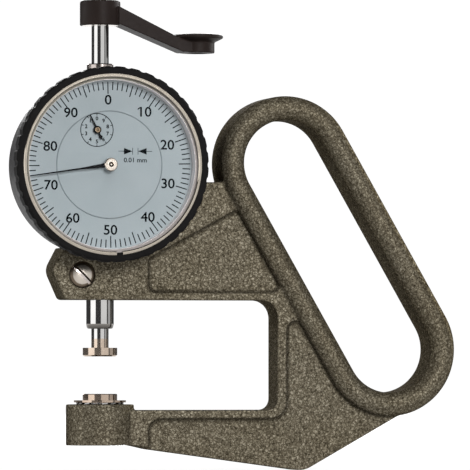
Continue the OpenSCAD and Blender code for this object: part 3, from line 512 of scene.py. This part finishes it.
# Counter scale on the fixed middle of the dial
COUNT_RING, COUNT_LINE, COUNT_WIDTH = (4.6, 4.84), (4.1, 4.65), 0.2
COUNT_FIGURE_R, COUNT_FIGURE_HIGH = 3.3, 1.15
bm = bmesh.new()
tube(bm, COUNTER, *COUNT_RING, *PRINT, 96)
for k in range(10):
    stroke(bm, COUNTER, 90 + 36*k, *COUNT_LINE, COUNT_WIDTH, *PRINT)
    angle = math.radians(90 + 36*k)
    at = (COUNTER[0] + COUNT_FIGURE_R*math.cos(angle), COUNTER[1] + COUNT_FIGURE_R*math.sin(angle))
    letters(bm, str(k), COUNT_FIGURE_HIGH, at, FIGURE_Y, weight=0.035)
from_bmesh("counter_scale", bm, ink, "frame")

# Value of one division: two arrows that point at each other, over the words
UNIT_X, ARROW_Z, WORDS_Z, WORDS_HIGH = 7.58, DIAL_Z + 3.93, DIAL_Z + 1.42, 1.35
ARROW_TIP, ARROW_BASE, ARROW_HALF = 0.8, 3.3, 0.92
BAR_HALF, TAIL, THIN = 0.95, 1.6, 0.16
bm = bmesh.new()
for side in (-1, 1):
    tip, base = UNIT_X + side*ARROW_TIP, UNIT_X + side*ARROW_BASE
    triangle = [(tip, ARROW_Z), (base, ARROW_Z + ARROW_HALF), (base, ARROW_Z - ARROW_HALF)]
    prism(bm, triangle if side < 0 else triangle[::-1], *PRINT)
from_bmesh("unit_arrows", bm, ink, "frame")
bm = bmesh.new()
for side in (-1, 1):
    tip, base = UNIT_X + side*ARROW_TIP, UNIT_X + side*ARROW_BASE
    stroke(bm, (tip, ARROW_Z), 90, -BAR_HALF, BAR_HALF, THIN, *PRINT)
    stroke(bm, (base, ARROW_Z), 0 if side > 0 else 180, 0, TAIL, THIN, *PRINT)
letters(bm, "0.01 mm", WORDS_HIGH, (UNIT_X, WORDS_Z), FIGURE_Y, weight=0.02, wide=1.06)
from_bmesh("unit_words", bm, thin_ink, "frame")

# Shadowed joint between the fixed middle and the turning scale
JOINT = (15.23, 15.47)
bm = bmesh.new()
tube(bm, DIAL_AXIS, *JOINT, DIAL_Y + 0.16, DIAL_Y + 0.7)
from_bmesh("dial_joint", bm, joint_shade, "frame")

# Measuring spring, on a mesh of its own; the real one shortens as the spindle goes down, but nothing here
# makes this piece shorten
coil = nodes["measuring_spring"].data.copy()
spring = shown("spring_coil", coil, finish["steel"], "frame")
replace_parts(spring, "measuring_spring")
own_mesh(spring)

# Pale lining inside the bezel, between the scale and the window, and the window's seat
LEDGE = 1.0
bm = bmesh.new()
tube(bm, DIAL_AXIS, SKIRT_R - 0.06, SKIRT_R - 0.01, WINDOW_BACK - 0.02, DIAL_Y - 0.05)
from_bmesh("bezel_lining", bm, lining, "bezel", smooth=True)
bm = bmesh.new()
tube(bm, DIAL_AXIS, SKIRT_R - 0.005, SKIRT_R + LEDGE, WINDOW_BACK - 0.02, WINDOW_BACK - 0.005)
from_bmesh("bezel_ledge", bm, worn_ledge(), "bezel", smooth=True)


# Domed face of the clamp screw, and the floor of its slot, with painted shade as a dark strip along one side
ALONG, ACROSS = Vector((1, 0, -1)).normalized(), Vector((1, 0, 1)).normalized()
SLOT_HALF = 0.6
SLOT_BACK = CLAMP_Y + 1.29
DOME_R, DOME_RISE = 2.74, 0.45
SHADE_FROM = 0.12


def clamp_point(along, across, y):
    """Point on the screw's head, measured along the slot and across it."""
    p = ALONG*along + ACROSS*across
    return (CLAMP[0] + p.x)*MM, y*MM, (CLAMP[1] + p.z)*MM


def domed_half(bm, side, radius, rise, rings=14, steps=28):
    """Half of the screw's domed face, on one side of the slot."""
    widest = (radius - SLOT_HALF)*0.998    # just short of the rim, where a row would shrink to a point
    fronts, backs = [], []
    for i in range(rings + 1):
        across = SLOT_HALF + widest*math.sin(math.pi/2*i/rings)
        half = math.sqrt(radius**2 - across**2)
        alongs = [half*math.sin(math.pi/2*(2*j/steps - 1)) for j in range(steps + 1)]
        heights = [rise*(1 - (along**2 + across**2)/radius**2) for along in alongs]
        front = [clamp_point(a, side*across, CLAMP_Y - h) for a, h in zip(alongs, heights)]
        back = [clamp_point(a, side*across, CLAMP_Y + 0.02) for a in alongs]
        fronts.append([bm.verts.new(p) for p in front])
        backs.append([bm.verts.new(p) for p in back])
    for grid in (fronts, backs):
        for near, far in zip(grid, grid[1:]):
            for j in range(steps):
                bm.faces.new((near[j], near[j + 1], far[j + 1], far[j]))

    def outline(grid):
        starts, ends = [row[0] for row in grid], [row[-1] for row in grid]
        return starts + grid[-1][1:-1] + ends[::-1] + grid[0][-2:0:-1]

    front_rim, back_rim = outline(fronts), outline(backs)
    for j in range(len(front_rim)):
        k = (j + 1) % len(front_rim)
        bm.faces.new((front_rim[j], front_rim[k], back_rim[k], back_rim[j]))


def slot_floor(bm, low, high, reach, edge_deep, rise, steps=24):
    """Strip of the slot's floor, crowned along the slot."""
    rows = []
    for j in range(steps + 1):
        along = reach*(2*j/steps - 1)
        y = CLAMP_Y + edge_deep - rise*(1 - (along/reach)**2)
        section = ((low, y), (high, y), (high, SLOT_BACK), (low, SLOT_BACK))
        rows.append([bm.verts.new(clamp_point(along, across, depth)) for across, depth in section])
    for a, b in zip(rows, rows[1:]):
        for k in range(4):
            bm.faces.new((a[k], a[(k + 1) % 4], b[(k + 1) % 4], b[k]))
    bm.faces.new(rows[0])
    bm.faces.new(rows[-1][::-1])


bm = bmesh.new()
for side in (-1, 1):
    domed_half(bm, side, DOME_R, DOME_RISE)
from_bmesh("clamp_dome", bm, faced["clamp_screw"], "frame", smooth=True)
bm = bmesh.new()
slot_floor(bm, -SLOT_HALF + 0.02, SHADE_FROM, reach=3.3, edge_deep=0.5, rise=0.4)
from_bmesh("clamp_slot", bm, faced["upper_bush"], "frame", smooth=True)
# Painted shade: a dark strip over the far side of the slot's floor
bm = bmesh.new()
slot_floor(bm, SHADE_FROM + 0.005, SLOT_HALF - 0.02, reach=3.4, edge_deep=0.52, rise=0.4)
from_bmesh("clamp_slot_shade", bm, painted_shade, "frame")

# Painted shade in the middle of the hubs of the two hands: dark rings, with their inner and outer radius
HUB_SHADE_RING, COUNTER_SHADE_RING = (0.26, 0.64), (0.16, 0.38)
bm = bmesh.new()
tube(bm, DIAL_AXIS, *HUB_SHADE_RING, HUB_RECESS - 0.03, HUB_RECESS - 0.005, 32)
from_bmesh("hub_shade_ring", bm, painted_shade, "centre")
bm = bmesh.new()
counter_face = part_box("counter_hub")[0].y/MM
tube(bm, COUNTER, *COUNTER_SHADE_RING, counter_face - 0.015, counter_face + 0.01, 32)
from_bmesh("counter_shade_ring", bm, painted_shade, "counter")


# Stage

def white_to_the_eye(name, base, glow, fades=False):
    """Pale diffuse surface that the camera, metal and glass see lit by itself. One that fades
    comes up to white away from the object."""
    f = Finish(name)
    path = f.node("LightPath").outputs
    seen = f.maths("MAXIMUM", path["Is Camera Ray"], path["Is Glossy Ray"])
    seen = f.maths("MAXIMUM", seen, path["Is Transmission Ray"])
    if fades:
        near, far = 0.25, 0.7
        where = f.node("TexCoord").outputs["Object"]
        away = f.node("VectorMath", {0: where}, operation="LENGTH").outputs["Value"]
        glow = f.span(away, glow, 1.0, near, far)
    diffuse = f.node("BsdfDiffuse", {"Color": (base, base, base, 1)})
    emission = f.node("Emission", {"Strength": f.maths("MULTIPLY", seen, glow)})
    both = f.node("AddShader", {0: diffuse.outputs[0], 1: emission.outputs[0]})
    f.tree.nodes.remove(f.shader)
    f.feed(f.tree.nodes["Material Output"].inputs["Surface"], both.outputs[0])
    return f.material


def sheet(name, corners, material):
    mesh = bpy.data.meshes.new(name)
    mesh.from_pydata(corners, [], [(0, 1, 2, 3)])
    mesh.materials.append(material)
    made = bpy.data.objects.new(name, mesh)
    scene.collection.objects.link(made)
    return made


FLOOR = cad_box[0].z - 0.0004
sheet("floor", [(-1.4, -1.4, FLOOR), (1.8, -1.4, FLOOR), (1.8, 2.4, FLOOR), (-1.4, 2.4, FLOOR)],
      white_to_the_eye("floor_white", base=0.25, glow=0.82, fades=True))
sheet("backdrop", [(-0.6, 3.4, -0.4), (1.4, 3.4, -0.4), (1.4, 3.4, 0.9), (-0.6, 3.4, 0.9)],
      white_to_the_eye("backdrop_white", base=0.2, glow=1.0))

world = bpy.data.worlds.new("studio")
world.use_nodes = True
world.node_tree.nodes["Background"].inputs["Color"].default_value = (1.0, 1.0, 1.0, 1.0)
world.node_tree.nodes["Background"].inputs["Strength"].default_value = 0.06
scene.world = world

AIM = Vector((0.03, 0.0, 0.045))


def lamp(name, azimuth, elevation, distance, width, height, level=None, radiance=None, gloss=False):
    """Area lamp; the azimuth runs from the front to the right. A level lights the object's
    matt surfaces, a radiance is what its gloss shows."""
    a, e = math.radians(azimuth), math.radians(elevation)
    away = Vector((math.sin(a)*math.cos(e), -math.cos(a)*math.cos(e), math.sin(e)))
    data = bpy.data.lights.new(name, "AREA")
    data.shape = "RECTANGLE"
    data.size, data.size_y = width, height
    data.energy = level*(math.pi*distance)**2 if level is not None else radiance*math.pi*width*height
    made = bpy.data.objects.new(name, data)
    scene.collection.objects.link(made)
    made.location = AIM + away*distance
    made.rotation_mode = "QUATERNION"
    made.rotation_quaternion = (-away).to_track_quat("-Z", "Y")
    made.visible_camera = False
    made.visible_glossy = gloss or level is None
    made.visible_diffuse = level is not None
    return made


# Azimuth and elevation in degrees, then distance, width and height in metres
lamp("key", 6, 16, 1.6, 0.4, 0.35, level=0.46, gloss=True)
lamp("key_soft", 5, 4, 1.6, 0.6, 0.6, level=0.31)
lamp("left_soft", -62, 36, 1.6, 0.5, 0.5, level=0.16)
lamp("top", 0, 60, 1.4, 0.9, 0.9, level=0.25, gloss=True)
lamp("back", 172, 22, 1.8, 0.9, 0.6, level=0.65, gloss=True)
lamp("right", 112, 17, 1.5, 0.6, 0.4, level=0.5, gloss=True)
lamp("left", -112, 17, 1.5, 0.6, 0.4, level=0.25, gloss=True)
lamp("gloss_left", -72, 5, 1.0, 0.85, 0.35, radiance=1.75)
lamp("gloss_front", 21, 4, 1.2, 1.16, 0.4, radiance=1.0)
lamp("gloss_right", 81, 5, 1.0, 0.85, 0.35, radiance=0.5)

# Camera at the photograph's viewing angle, which looks a little to the right and up
camera = bpy.data.cameras.new("camera")
camera.sensor_width = 36.0
camera.lens = 407.3
camera.clip_start, camera.clip_end = 0.1, 60.0
eye = bpy.data.objects.new("camera", camera)
scene.collection.objects.link(eye)
eye.location = (-0.3083, -1.5, 0.008)
turn, rise = math.radians(13.0694), math.radians(1.411)
ahead = Vector((math.sin(turn)*math.cos(rise), math.cos(turn)*math.cos(rise), math.sin(rise)))
eye.rotation_mode = "QUATERNION"
eye.rotation_quaternion = ahead.to_track_quat("-Z", "Y")
scene.camera = eye
scene.view_settings.view_transform = "Standard"

bpy.context.view_layer.update()
